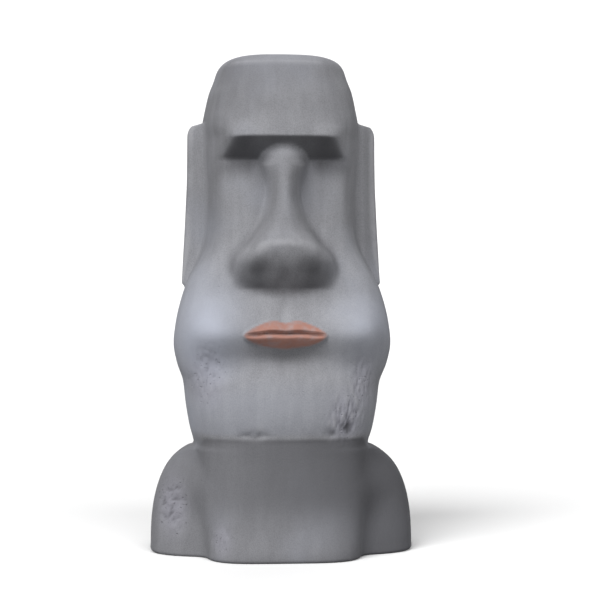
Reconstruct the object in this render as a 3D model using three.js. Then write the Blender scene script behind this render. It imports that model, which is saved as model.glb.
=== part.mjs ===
// A moai head-and-shoulders statue in cast stone, made as one solid.
// Millimetres, +Z up, the face looks along -Y, the origin is the middle of the underside.
import * as THREE from "three";

// Driving sizes
const HEIGHT = 300;
const WIDTH = 160; // across the shoulders
const DEPTH = 120; // from the foot of the chest to the foot of the back
const FOOT_ROUNDING = 2.5;

// Proportions of the free form are shares of the height (up), the width (across) and the depth (forward).
const up = (share) => share * HEIGHT;
const across = (share) => share * WIDTH;
const forward = (share) => share * DEPTH;
const radians = (degrees) => (degrees * Math.PI) / 180;
const asIs = (value) => value;

// Heights of the carving
const NECK_Z = up(0.209);
const CHIN_EDGE_Z = up(0.236);
const MOUTH_Z = up(0.44);
const NOSTRIL_Z = up(0.558);
const EAR_BOTTOM_Z = up(0.541);
const EAR_TOP_Z = up(0.863);
const BROW_Z = up(0.828);
const CROWN_Z = up(0.955);

const clamp = (v, low, high) => Math.min(high, Math.max(low, v));
const mix = (a, b, t) => a + (b - a) * t;
const ramp = (from, to, v) => {
  const t = clamp((v - from) / (to - from), 0, 1);
  return t * t * (3 - 2 * t);
};
const bell = (v, spread) => Math.exp(-((v / spread) ** 2));

// The smaller, or the larger, of two values, rounded over where they cross.
const softMin = (a, b, rounding) => {
  const h = clamp(0.5 + (b - a) / (2 * rounding), 0, 1);
  return mix(b, a, h) - rounding * h * (1 - h);
};
const softMax = (a, b, rounding) => -softMin(-a, -b, rounding);

// A quarter of a rounded box: 1 at the start, falling to 0 at the end; a higher curl is a squarer corner.
const roll = (t, curl) => (1 - clamp(t, 0, 1) ** curl) ** (1 / curl);

// A curve through [height share, value] points that never swings past them, averaged over a short stretch.
function heights(points, size, stretch) {
  const zs = points.map(([z]) => up(z));
  const vs = points.map(([, v]) => v);
  const gaps = zs.slice(1).map((z, i) => z - zs[i]);
  const slopes = gaps.map((gap, i) => (vs[i + 1] - vs[i]) / gap);
  const tangents = vs.map((_, i) => {
    const [before, after] = [slopes[i - 1] ?? slopes[i], slopes[i] ?? slopes[i - 1]];
    return before * after <= 0 ? 0 : (2 * before * after) / (before + after);
  });
  const through = (height) => {
    const z = clamp(height, zs[0], zs[zs.length - 1]);
    let i = 0;
    while (i < gaps.length - 1 && z >= zs[i + 1]) i++;
    const t = (z - zs[i]) / gaps[i];
    const rise = gaps[i] * (t * (1 - t) ** 2 * tangents[i] - t * t * (1 - t) * tangents[i + 1]);
    return mix(vs[i], vs[i + 1], t * t * (3 - 2 * t)) + rise;
  };
  const weights = [1, 2, 3, 2, 1];
  return (z) =>
    size(weights.reduce((sum, w, k) => sum + w * through(z + ((k - 2) * up(stretch)) / 2), 0) / 9);
}

// Head: half the width at its widest, half the width towards the back, and how deep the back is.
const headHalf = heights(
  [
    [0.18, 0.33], [0.21, 0.335], [0.25, 0.354], [0.3, 0.37], [0.34, 0.378], [0.38, 0.4], [0.42, 0.412],
    [0.46, 0.404], [0.52, 0.377], [0.58, 0.335], [0.62, 0.315], [0.67, 0.306], [0.73, 0.304], [0.81, 0.307],
    [0.86, 0.305], [0.9, 0.292], [0.93, 0.278], [0.955, 0.259], [1, 0.236],
  ],
  across,
  0.008,
);
const backHalf = heights(
  [
    [0.2, 0.3], [0.3, 0.33], [0.4, 0.348], [0.5, 0.34], [0.6, 0.3], [0.7, 0.28], [0.86, 0.268],
    [0.955, 0.215], [1, 0.19],
  ],
  across,
  0.03,
);
const headBack = heights(
  [[0.2, 0.385], [0.36, 0.41], [0.56, 0.42], [0.76, 0.41], [0.86, 0.385], [0.94, 0.335], [1, 0.3]],
  forward,
  0.05,
);
const BACK_TURN = radians(12);

// How far the sides turn in towards the face, and how sharp the head's corners are.
const sideTurn = heights(
  [
    [0.21, 16], [0.34, 15], [0.366, 13], [0.396, 8], [0.51, 6], [0.547, 10], [0.592, 18], [0.652, 23],
    [0.95, 23],
  ],
  radians,
  0.02,
);
const headSharpness = heights(
  [
    [0.21, 4], [0.34, 4], [0.4, 3.8], [0.51, 4.2], [0.59, 6], [0.67, 8], [0.76, 11], [0.826, 11], [0.85, 5.5],
    [0.95, 3.8],
  ],
  asIs,
  0.01,
);

// The head's front down its middle, without nose and lips: set-back face, forehead, overhanging brow, chin.
const faceFront = heights(
  [
    [0.21, 0.395], [0.235, 0.398], [0.25, 0.41], [0.275, 0.423], [0.305, 0.428], [0.335, 0.42], [0.38, 0.378],
    [0.41, 0.375], [0.44, 0.382], [0.48, 0.362], [0.53, 0.332], [0.58, 0.302], [0.62, 0.281], [0.67, 0.265],
    [0.78, 0.242], [0.843, 0.232],
  ],
  forward,
  0.014,
);
const foreheadFront = heights(
  [[0.773, 0.39], [0.825, 0.383], [0.853, 0.371], [0.88, 0.35], [0.945, 0.305], [1, 0.27]],
  forward,
  0.03,
);
const BROW_EDGE = forward(0.388);
const BROW_SLOPE = 1.3; // how far back the underside of the brow goes for each step down

const chestFront = heights(
  [[0.015, 0.5], [0.025, 0.49], [0.06, 0.458], [0.1, 0.43], [0.15, 0.41], [0.2, 0.398], [0.24, 0.395]],
  forward,
  0.006,
);
const chestHalf = heights([[0, 0.285], [0.1, 0.31], [0.2, 0.335], [0.236, 0.346]], across, 0.02);

function headFront(z) {
  const underBrow = BROW_EDGE - (BROW_Z - z) * BROW_SLOPE;
  const brow = softMin(foreheadFront(z), underBrow, up(0.0045));
  return softMax(brow, faceFront(z), up(0.004));
}

// A wall is a vertical plane: the direction it faces, and how far it stands from the axis.
const wall = (nx, ny, away) => ({ nx, ny, away });
const boxWalls = (half, front, back) => [
  wall(0, -1, front),
  wall(0, 1, back),
  wall(-1, 0, half),
  wall(1, 0, half),
];

// The walls of the head or the chest. The sides turn in towards the face and again towards the back, and
// stand out so far that the rounded outline still has its half width beside the axis.
function blockWalls(z, front, half, turn, sharpness) {
  const backAway = backHalf(z) * Math.cos(BACK_TURN) + forward(0.3) * Math.sin(BACK_TURN);
  const beside = (1 / half) ** sharpness + (Math.cos(BACK_TURN) / backAway) ** sharpness;
  const spread = half * beside ** (1 / sharpness);
  const walls = [wall(0, -1, front), wall(0, 1, headBack(z))];
  for (const side of [-1, 1]) {
    walls.push(wall(side * Math.cos(turn), -Math.sin(turn), half * Math.cos(turn) * spread));
    walls.push(wall(side * Math.cos(BACK_TURN), Math.sin(BACK_TURN), backAway * spread));
  }
  return walls;
}

// How far (x, y) lies outside a ring of walls, with the corners between them rounded; negative inside.
function outside(walls, x, y, sharpness) {
  let sum = 0;
  for (const { nx, ny, away } of walls) sum += Math.max((nx * x + ny * y) / away, 0) ** sharpness;
  const gauge = Math.max(sum ** (1 / sharpness), 1e-3);
  return Math.hypot(x, y) * (1 - 1 / gauge);
}

const ARM_SHARPNESS = 3.2;

// The outline at one height: the head above the neck, the chest between the arms below it.
function outlineAt(z) {
  const sharpness = headSharpness(z);
  const head = blockWalls(z, headFront(z), headHalf(z), sideTurn(z), sharpness);
  const chestTurn = sideTurn(z) * ramp(up(0.09), CHIN_EDGE_Z, z);
  const chest = blockWalls(z, chestFront(z), chestHalf(z), chestTurn, sharpness);
  const armTop = roll((z - up(0.017)) / (NECK_Z - up(0.017)), 2.4);
  const arms = boxWalls(
    mix(across(0.305), across(0.5), armTop),
    mix(forward(0.12), forward(0.27), armTop) + forward(0.035) * ramp(up(0.15), 0, z),
    mix(forward(0.37), forward(0.485), armTop) + forward(0.015) * ramp(up(0.1), up(0.01), z),
  );
  const joining = mix(forward(0.08), forward(0.18), bell(z - up(0.14), up(0.045)));
  const below = ramp(CHIN_EDGE_Z - up(0.002), CHIN_EDGE_Z - up(0.014), z);
  return (x, y) => {
    const headGap = below < 1 ? outside(head, x, y, sharpness) : 0;
    if (below === 0) return headGap;
    const body = softMin(outside(chest, x, y, sharpness), outside(arms, x, y, ARM_SHARPNESS), joining);
    return mix(headGap, body, below);
  };
}

// Nose: its ridge line, half its width, and how flat it is across.
const noseRidge = heights(
  [
    [0.495, 0.26], [0.52, 0.343], [0.535, 0.384], [0.55, 0.416], [0.58, 0.458], [0.602, 0.479],
    [0.613, 0.485], [0.622, 0.478], [0.633, 0.456], [0.646, 0.435], [0.67, 0.42], [0.74, 0.387],
    [0.773, 0.368], [0.79, 0.352], [0.81, 0.328], [0.825, 0.28],
  ],
  forward,
  0.005,
);
const noseHalf = heights(
  [
    [0.505, 0.08], [0.525, 0.157], [0.537, 0.183], [0.55, 0.196], [0.564, 0.201], [0.58, 0.198],
    [0.596, 0.184], [0.628, 0.133], [0.645, 0.113], [0.676, 0.086], [0.713, 0.068], [0.74, 0.07],
    [0.76, 0.085], [0.775, 0.097], [0.79, 0.092], [0.8, 0.073], [0.814, 0.02],
  ],
  across,
  0.006,
);
const noseFlatness = heights(
  [[0.512, 3], [0.55, 3.6], [0.592, 3.6], [0.627, 3], [0.652, 2.4], [0.703, 2], [0.813, 2]],
  asIs,
  0.02,
);

function noseFront(x, z, face) {
  const ridge = noseRidge(z);
  const outward = Math.min(Math.abs(x) / noseHalf(z), 4);
  const drop = Math.max(ridge - face + forward(0.012), forward(0.012));
  const nostril = bell(Math.abs(x) - across(0.1), across(0.05)) * bell(z - NOSTRIL_Z, up(0.024));
  const notch = bell(x, across(0.022)) * bell(z - up(0.543), up(0.02));
  const furrow = bell(Math.abs(x) - across(0.14), across(0.024)) * bell(z - up(0.605), up(0.024));
  const hollows = forward(0.022) * nostril + forward(0.014) * notch + forward(0.01) * furrow;
  return ridge - drop * outward ** noseFlatness(z) - hollows;
}

// Lips: two soft rolls that meet in a line and thin out at the corners.
const MOUTH_HALF = across(0.158);
const LIP_EDGE = up(0.001); // how thick the lips still are in the corners
const UPPER_LIP = up(0.027);
const LOWER_LIP = up(0.032);
const LIP_DEPTH = forward(0.055);

function lipRelief(x, z) {
  const outward = clamp(Math.abs(x) / MOUTH_HALF, 0, 1);
  const fullness = (1 - outward ** 2.2) ** 0.75;
  const arch = up(0.002) * bell(Math.abs(x) - across(0.05), across(0.035));
  const line = MOUTH_Z + arch - up(0.003) * outward ** 2;
  const bow = up(0.005) * bell(x, across(0.024));
  const thickness = LIP_EDGE + (z > line ? UPPER_LIP * fullness - bow : LOWER_LIP * fullness);
  const t = clamp(Math.abs(z - line) / thickness, 0, 1);
  const parting = 0.55 * bell(z - line, up(0.004)) * fullness ** 0.5;
  return LIP_DEPTH * ((1 - t * t) ** 0.85 * fullness ** 0.6 - parting);
}

// Cheeks, the swell around the mouth, the hollow under the lower lip and the furrow above the upper one.
function faceRelief(x, z) {
  const cheekSpread = bell(Math.abs(x) - across(0.265), across(0.125));
  const cheek = forward(0.075) * cheekSpread * bell(z - MOUTH_Z, up(0.052));
  const muzzle = forward(0.035) * bell(x, across(0.17)) * bell(z - up(0.445), up(0.042));
  const hollow = forward(0.024) * bell(x, across(0.12)) * bell(z - up(0.393), up(0.014));
  const furrow = forward(0.012) * bell(x, across(0.022)) * bell(z - up(0.485), up(0.02));
  return cheek + muzzle - hollow - furrow;
}

// Ears: long upright slabs on the sides of the head, with a sunk channel down the middle.
const EAR_FRONT_Y = forward(-0.05);
const EAR_BACK_Y = forward(0.18);
const EAR_EDGE = forward(0.014);
const EAR_CORNER = up(0.026);
const earHalf = heights(
  [
    [0.46, 0.388], [0.514, 0.385], [0.588, 0.377], [0.688, 0.367], [0.737, 0.362], [0.87, 0.359],
  ],
  across,
  0.02,
);

function earRise(half, y, z) {
  const middle = (EAR_FRONT_Y + EAR_BACK_Y) / 2;
  const belowTop = ramp(EAR_TOP_Z + up(0.005), EAR_TOP_Z - up(0.005), z);
  const long = belowTop * ramp(EAR_BOTTOM_Z - up(0.012), EAR_BOTTOM_Z, z);
  const behindFront = ramp(EAR_FRONT_Y - EAR_EDGE, EAR_FRONT_Y + EAR_EDGE, y);
  const wide = behindFront * ramp(EAR_BACK_Y + EAR_EDGE, EAR_BACK_Y - EAR_EDGE, y);
  const channel =
    across(0.016) *
    ramp(forward(0.062), forward(0.04), Math.abs(y - middle)) *
    ramp(up(0.833), up(0.818), z) *
    ramp(up(0.57), up(0.59), z);
  const rounding = across(0.036) * (1 - roll((z - EAR_TOP_Z + EAR_CORNER) / EAR_CORNER, 2));
  return Math.max(earHalf(z) - half - rounding, 0) * long * wide - channel * long;
}

// Rays fan out from a small upright core. They are parallel along its flats, so that carving keeps to its own
// columns.
const CORE_HALF = across(0.15);
const CORE_FRONT = forward(0.13);
const CORE_BACK = forward(0.22);
const FRONT_COLUMNS = 11; // on half the front
const CORNER_COLUMNS = 11;
const BACK_CORNER_COLUMNS = 6;
const BACK_COLUMNS = 3;
const SIDE_YS = [
  EAR_FRONT_Y - EAR_EDGE,
  EAR_FRONT_Y + EAR_EDGE,
  forward(0.02),
  forward(0.11),
  EAR_BACK_Y - EAR_EDGE,
  EAR_BACK_Y + EAR_EDGE,
];

function halfRays() {
  const rays = [];
  for (let i = 0; i <= FRONT_COLUMNS; i++)
    rays.push({ ox: (CORE_HALF * i) / FRONT_COLUMNS, oy: -CORE_FRONT, ux: 0, uy: -1 });
  for (let i = 1; i <= CORNER_COLUMNS; i++) {
    const a = ((Math.PI / 2) * i) / CORNER_COLUMNS;
    rays.push({ ox: CORE_HALF, oy: -CORE_FRONT, ux: Math.sin(a), uy: -Math.cos(a) });
  }
  for (const y of SIDE_YS) rays.push({ ox: CORE_HALF, oy: y, ux: 1, uy: 0 });
  for (let i = 0; i <= BACK_CORNER_COLUMNS; i++) {
    const a = ((Math.PI / 2) * i) / BACK_CORNER_COLUMNS;
    rays.push({ ox: CORE_HALF, oy: CORE_BACK, ux: Math.cos(a), uy: Math.sin(a) });
  }
  for (let i = BACK_COLUMNS - 1; i >= 0; i--)
    rays.push({ ox: (CORE_HALF * i) / BACK_COLUMNS, oy: CORE_BACK, ux: 0, uy: 1 });
  return rays;
}

// Right half from front to back, then its mirror from back to front.
function allRays() {
  const right = halfRays();
  const left = right.slice(1, -1).reverse();
  return [...right, ...left.map((ray) => ({ ...ray, ox: -ray.ox, ux: -ray.ux }))];
}

// Where a ray leaves the outline, found by halving the stretch it must lie in.
function meet(ray, outline) {
  let [near, far] = [0, WIDTH * 0.75];
  for (let i = 0; i < 22; i++) {
    const middle = (near + far) / 2;
    if (outline(ray.ox + ray.ux * middle, ray.oy + ray.uy * middle) < 0) near = middle;
    else far = middle;
  }
  return new THREE.Vector3(ray.ox + ray.ux * near, ray.oy + ray.uy * near, 0);
}

// One carved ring of the wall at height z.
function ring(rays, z) {
  const outline = outlineAt(z);
  const points = rays.map((ray) => meet(ray, outline));
  const widest = Math.max(...points.map((p) => p.x));
  const widen = mix(1, headHalf(z) / widest, ramp(NECK_Z - up(0.001), NECK_Z + up(0.009), z));
  const front = headFront(z);
  const aboveChin = ramp(CHIN_EDGE_Z - up(0.01), CHIN_EDGE_Z + up(0.005), z);
  const noseGate = ramp(up(0.497), up(0.517), z) * ramp(up(0.834), up(0.824), z);
  points.forEach((p, i) => {
    p.set(p.x * widen, p.y, z);
    const facing = ramp(0.25, 0.7, -rays[i].uy) * aboveChin;
    const face = -p.y + (lipRelief(p.x, z) + faceRelief(p.x, z)) * facing;
    p.y = -mix(face, softMax(face, noseFront(p.x, z, front), forward(0.03)), facing * noseGate);
    if (Math.abs(rays[i].ux) > 0.3) p.x += Math.sign(rays[i].ux) * earRise(Math.abs(p.x), p.y, z);
  });
  return points;
}

// Rows up the wall: [from, to, number of rows] in shares of the height.
const BANDS = [
  [0.008, 0.1, 2],
  [0.1, 0.183, 3],
  [0.183, 0.207, 3],
  [0.207, 0.223, 2],
  [0.223, 0.245, 3],
  [0.245, 0.35, 4],
  [0.35, 0.4, 3],
  [0.4, 0.475, 8],
  [0.475, 0.53, 3],
  [0.53, 0.643, 8],
  [0.643, 0.775, 5],
  [0.775, 0.834, 7],
  [0.834, 0.854, 2],
  [0.854, 0.87, 2],
  [0.87, 0.955, 3],
];

function wallHeights() {
  const levels = [];
  for (const [from, to, rows] of BANDS)
    for (let i = 0; i < rows; i++) levels.push(up(mix(from, to, i / rows)));
  return [...levels, CROWN_Z];
}

const CROWN_ROWS = 6;
const CROWN_CURL = 4; // 2 is a round dome, more is flatter on top

// Rings of points from the underside, up the wall and over the rounded crown.
function rings(rays) {
  const levels = wallHeights();
  const shrunk = (points, share, z) => points.map((p) => new THREE.Vector3(p.x * share, p.y * share, z));
  const list = levels.map((z) => ring(rays, z));
  list.unshift(shrunk(list[0], 1 - FOOT_ROUNDING / (WIDTH / 2), 0));
  for (let i = 1; i < CROWN_ROWS; i++) {
    const a = ((Math.PI / 2) * i) / CROWN_ROWS;
    const z = mix(CROWN_Z, HEIGHT, Math.sin(a) ** (2 / CROWN_CURL));
    list.push(shrunk(ring(rays, z), Math.cos(a) ** (2 / CROWN_CURL), z));
  }
  return list;
}

function statueGeometry() {
  const rays = allRays();
  const list = rings(rays);
  const n = rays.length;
  const points = [...list.flat(), new THREE.Vector3(0, 0, 0), new THREE.Vector3(0, 0, HEIGHT)];
  const under = points.length - 2;
  const crown = points.length - 1;
  const faces = [];
  for (let j = 0; j < list.length - 1; j++)
    for (let i = 0; i < n; i++) {
      const [a, b] = [j * n + i, j * n + ((i + 1) % n)];
      const [c, d] = [b + n, a + n];
      // each four-sided cell is split along its shorter diagonal, the same way on both halves of the face
      if (points[a].distanceTo(points[c]) < points[b].distanceTo(points[d])) faces.push(a, b, c, a, c, d);
      else faces.push(a, b, d, b, c, d);
    }
  const last = (list.length - 1) * n;
  for (let i = 0; i < n; i++) {
    const next = (i + 1) % n;
    faces.push(under, next, i, crown, last + i, last + next);
  }
  const geometry = new THREE.BufferGeometry().setFromPoints(points);
  geometry.setIndex(faces);
  geometry.computeVertexNormals();
  return geometry;
}

const castStone = new THREE.MeshStandardMaterial({ color: 0x8d8e93, roughness: 0.85, metalness: 0 });
const statue = new THREE.Mesh(statueGeometry(), castStone);
statue.name = "moai_statue";

const part = new THREE.Group();
part.add(statue);
export default part;
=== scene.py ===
"""A moai head-and-shoulders statue in cast stone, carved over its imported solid, on a plain stage.

The statue is one closed surface: rings of points at rising heights, each ring found along rays from a small
upright core. The carving is given in shares of the solid's own height, width and depth, the wear in
millimetres and the stage in metres. The face looks along -Y.
"""

import math

import bpy
import numpy as np
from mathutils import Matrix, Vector


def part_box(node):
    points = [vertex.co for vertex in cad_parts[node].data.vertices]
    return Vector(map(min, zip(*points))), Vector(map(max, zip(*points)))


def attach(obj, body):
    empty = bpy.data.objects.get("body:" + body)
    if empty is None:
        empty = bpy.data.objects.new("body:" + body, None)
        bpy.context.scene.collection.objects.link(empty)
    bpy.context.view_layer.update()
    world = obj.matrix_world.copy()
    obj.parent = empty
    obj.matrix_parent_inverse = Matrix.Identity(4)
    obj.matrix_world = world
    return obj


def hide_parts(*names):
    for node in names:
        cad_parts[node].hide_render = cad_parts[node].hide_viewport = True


bl_info = {
    "name": "Moai statue",
    "version": (1, 0, 0),
    "blender": (4, 5, 0),
    "location": "3D View > Sidebar > Moai",
    "description": "A moai head-and-shoulders statue in cast stone, on a plain stage",
    "category": "Object",
}

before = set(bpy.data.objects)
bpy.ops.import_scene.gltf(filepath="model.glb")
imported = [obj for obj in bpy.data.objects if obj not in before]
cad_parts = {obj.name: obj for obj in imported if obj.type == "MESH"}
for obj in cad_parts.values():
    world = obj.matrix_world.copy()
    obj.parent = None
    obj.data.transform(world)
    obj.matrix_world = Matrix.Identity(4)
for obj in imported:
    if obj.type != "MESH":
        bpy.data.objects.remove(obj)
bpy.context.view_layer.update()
LOW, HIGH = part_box("moai_statue")
MM = 0.001


# Plain helpers


def mix(a, b, t):
    """From a at t = 0 to b at t = 1, in a straight line."""
    return a + (b - a) * t


def ramp(start, end, value):
    """0 before start, 1 after end, and a smooth s-shaped rise between them."""
    t = np.clip((value - start) / (end - start), 0, 1)
    return t * t * (3 - 2 * t)


def band(value, start, full, fading, end):
    """0 before start, 1 from full to fading and 0 after end, with smooth s-shaped slopes between them."""
    return ramp(start, full, value) * ramp(end, fading, value)


def bell(value, spread):
    """A bump that is 1 at zero and has died away at about twice the spread."""
    return np.exp(-((value / spread) ** 2))


def soft_min(a, b, rounding):
    """The smaller of two values, rounded over where they cross."""
    h = np.clip(0.5 + (b - a) / (2 * rounding), 0, 1)
    return mix(b, a, h) - rounding * h * (1 - h)


def soft_max(a, b, rounding):
    """The larger of two values, rounded over where they cross."""
    return -soft_min(-a, -b, rounding)


def roll(t, curl):
    """A quarter of a rounded box: 1 at t = 0 and 0 at t = 1. A higher curl is a squarer corner."""
    return (1 - np.clip(t, 0, 1) ** curl) ** (1 / curl)


def profile(points, stretch):
    """A curve through (share, value) points that never swings past them, averaged over a short stretch.

    Between two points it is a cubic whose slopes are the harmonic mean of the slopes on either side.
    """
    at, values = np.array(points, float).T
    gaps = np.diff(at)
    slopes = np.diff(values) / gaps
    before = np.concatenate([slopes[:1], slopes])
    after = np.concatenate([slopes, slopes[-1:]])
    together = np.where(before + after == 0, 1, before + after)
    tangents = np.where(before * after > 0, 2 * before * after / together, 0)

    def through(share):
        share = np.clip(share, at[0], at[-1])
        i = np.clip(np.searchsorted(at, share, side="right") - 1, 0, len(gaps) - 1)
        t = (share - at[i]) / gaps[i]
        rise = gaps[i] * (t * (1 - t) ** 2 * tangents[i] - t * t * (1 - t) * tangents[i + 1])
        return mix(values[i], values[i + 1], t * t * (3 - 2 * t)) + rise

    weights = {-2: 1, -1: 2, 0: 3, 1: 2, 2: 1}
    return lambda share: sum(w * through(share + k * stretch / 2) for k, w in weights.items()) / 9


# Profiles of the carving, as (share of the height, value) points

# half the head's width at its widest, a share of the width
HEAD_HALF = profile([
    (0.18, 0.33), (0.21, 0.335), (0.25, 0.354), (0.3, 0.37), (0.34, 0.378), (0.38, 0.4), (0.42, 0.412),
    (0.46, 0.404), (0.52, 0.377), (0.58, 0.335), (0.62, 0.315), (0.67, 0.306), (0.73, 0.304), (0.81, 0.307),
    (0.86, 0.305), (0.9, 0.292), (0.93, 0.278), (0.955, 0.259), (1, 0.236),
], 0.008)
# half the head's width towards the back, a share of the width
BACK_HALF = profile([
    (0.2, 0.3), (0.3, 0.33), (0.4, 0.348), (0.5, 0.34), (0.6, 0.3), (0.7, 0.28), (0.86, 0.268),
    (0.955, 0.215), (1, 0.19),
], 0.03)
# how far back the head goes, a share of the depth
HEAD_BACK = profile([
    (0.2, 0.385), (0.36, 0.41), (0.56, 0.42), (0.76, 0.41), (0.86, 0.385), (0.94, 0.335), (1, 0.3),
], 0.05)
# how far the sides turn in towards the face, in degrees
SIDE_TURN = profile([
    (0.21, 16), (0.34, 15), (0.366, 13), (0.396, 8), (0.51, 6), (0.547, 10), (0.592, 18), (0.652, 23),
    (0.95, 23),
], 0.02)
# how sharp the head's upright corners are
HEAD_SHARPNESS = profile([
    (0.21, 4), (0.34, 4), (0.4, 3.8), (0.51, 4.2), (0.59, 6), (0.67, 8), (0.76, 11), (0.826, 11), (0.85, 5.5),
    (0.95, 3.8),
], 0.01)
# the set-back face down its middle, without nose and lips, a share of the depth
FACE_FRONT = profile([
    (0.21, 0.395), (0.235, 0.398), (0.25, 0.41), (0.275, 0.423), (0.305, 0.428), (0.335, 0.42), (0.38, 0.378),
    (0.41, 0.375), (0.44, 0.382), (0.48, 0.362), (0.53, 0.332), (0.58, 0.302), (0.62, 0.281), (0.67, 0.265),
    (0.78, 0.242), (0.843, 0.232),
], 0.014)
# the forehead down its middle, a share of the depth
FOREHEAD_FRONT = profile([
    (0.773, 0.39), (0.825, 0.383), (0.853, 0.371), (0.88, 0.35), (0.945, 0.305), (1, 0.27),
], 0.03)
# the chest: its front down the middle, a share of the depth, and half its width, a share of the width
CHEST_FRONT = profile([
    (0.015, 0.5), (0.025, 0.49), (0.06, 0.458), (0.1, 0.43), (0.15, 0.41), (0.2, 0.398), (0.24, 0.395),
], 0.006)
CHEST_HALF = profile([(0, 0.285), (0.1, 0.31), (0.2, 0.335), (0.236, 0.346)], 0.02)
# the nose: its ridge line, half its width, and how flat it is across
NOSE_RIDGE = profile([
    (0.495, 0.26), (0.52, 0.343), (0.535, 0.384), (0.55, 0.416), (0.58, 0.458), (0.602, 0.479),
    (0.613, 0.485), (0.622, 0.478), (0.633, 0.456), (0.646, 0.435), (0.67, 0.42), (0.74, 0.387),
    (0.773, 0.368), (0.79, 0.352), (0.81, 0.328), (0.825, 0.28),
], 0.005)
NOSE_HALF = profile([
    (0.505, 0.08), (0.525, 0.157), (0.537, 0.183), (0.55, 0.196), (0.564, 0.201), (0.58, 0.198),
    (0.596, 0.184), (0.628, 0.133), (0.645, 0.113), (0.676, 0.086), (0.713, 0.068), (0.74, 0.07),
    (0.76, 0.085), (0.775, 0.097), (0.79, 0.092), (0.8, 0.073), (0.814, 0.02),
], 0.006)
NOSE_FLATNESS = profile([
    (0.512, 3), (0.55, 3.6), (0.592, 3.6), (0.627, 3), (0.652, 2.4), (0.703, 2), (0.813, 2),
], 0.02)
# half the width across the outer faces of the ears
EAR_HALF = profile([
    (0.46, 0.388), (0.514, 0.385), (0.588, 0.377), (0.688, 0.367), (0.737, 0.362), (0.87, 0.359),
], 0.02)

# Heights, shares of the height
NECK = 0.209
CHIN_EDGE = 0.236
MOUTH = 0.44
EAR_BOTTOM = 0.541
NOSTRIL = 0.558
BROW = 0.828
EAR_TOP = 0.863
CROWN = 0.955

# The brow's edge, a share of the depth, and how far back its underside goes for each step down
BROW_EDGE = 0.388
BROW_SLOPE = 1.3
# Roundings along the brow's edge and where its underside meets the face, shares of the height
BROW_ROUNDING, SOCKET_ROUNDING = 0.0045, 0.004

# How far the back's side planes turn in, and how far behind the axis they have the back's half width
BACK_TURN = math.radians(12)
BACK_CORNER = 0.3
# The height where the chest's sides begin to turn in towards the front
CHEST_TURN_FROM = 0.09

# The arms' half width, front and back, each at the neck and at the foot
ARM_HALF = (0.305, 0.5)
ARM_FRONT = (0.12, 0.27)
ARM_BACK = (0.37, 0.485)
# How much further the foot spreads to the front and to the back, shares of the depth
FRONT_SPREAD, BACK_SPREAD = 0.035, 0.015
# The height where the arms begin to roll in, how square that roll is, and how sharp their upright corners are
ARM_FOOT = 0.017
ARM_CURL = 2.4
ARM_SHARPNESS = 3.2
# The valley between chest and arms: its least and most rounding, the height of the most, and its reach
VALLEY_ROUNDING = (0.08, 0.18)
VALLEY, VALLEY_REACH = 0.14, 0.045

# Swells and hollows of nose and face as bells: place and reach across in widths, place and reach upwards in
# heights, and how far they stand out in depths
NOSTRIL_OUT = 0.1
NOSE_RELIEF = [
    (NOSTRIL_OUT, 0.05, NOSTRIL, 0.024, -0.022),  # nostrils
    (0, 0.022, 0.543, 0.02, -0.014),  # notch between the nostrils
    (0.14, 0.024, 0.605, 0.024, -0.01),  # furrows above the wings
]
FACE_RELIEF = [
    (0.265, 0.125, MOUTH, 0.052, 0.075),  # cheeks
    (0, 0.17, 0.445, 0.042, 0.035),  # swell round the mouth
    (0, 0.12, 0.393, 0.014, -0.024),  # hollow under the lips
    (0, 0.022, 0.485, 0.02, -0.012),  # furrow above the lips
]

# The heights between which the nose is joined on, how far its sides run in behind the face, and how softly it
# is joined
NOSE_FROM, NOSE_TO = 0.497, 0.834
NOSE_INSET = 0.012
NOSE_JOINING = 0.03

# The lips' half width, their thickness in the corners, what their middle adds to it above and below the line,
# and their depth
MOUTH_HALF = 0.158
LIP_EDGE = 0.001
UPPER_LIP, LOWER_LIP = 0.027, 0.032
LIP_DEPTH = 0.055

# Along the depth: the ear's front and back, half the slope at both, and where the channel's side begins and
# ends, from its middle
EAR_FRONT, EAR_BACK = -0.05, 0.18
EAR_EDGE = 0.014
CHANNEL_HALF = (0.04, 0.062)
# The rounded corner of the ear's top, upwards and inwards, and the ends and the depth of the channel
EAR_CORNER, EAR_CORNER_IN = 0.026, 0.036
CHANNEL_BOTTOM, CHANNEL_TOP = (0.57, 0.59), (0.818, 0.833)
CHANNEL_DEPTH = 0.016

# The core that the rays start from: half its width, and how far it goes to the front and to the back
CORE_HALF, CORE_FRONT, CORE_BACK = 0.15, 0.13, 0.22
# Rays on half the front, round the front corner, along the side, round the back corner and on half the back
COLUMNS = (70, 68, 30, 22, 12)
# Shares of the side's rays: before the ear, on its front edge, its face and its back edge, and behind it
SIDE_SHARES = (0.15, 0.22, 0.35, 0.22, 0.06)
DENSE = 0.01  # half the stretch of dense rays on each of the ear's edges, a share of the depth
# How far a ray is followed, in widths, and how often that stretch is halved
RAY_REACH = 0.75
HALVINGS = 20

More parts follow.
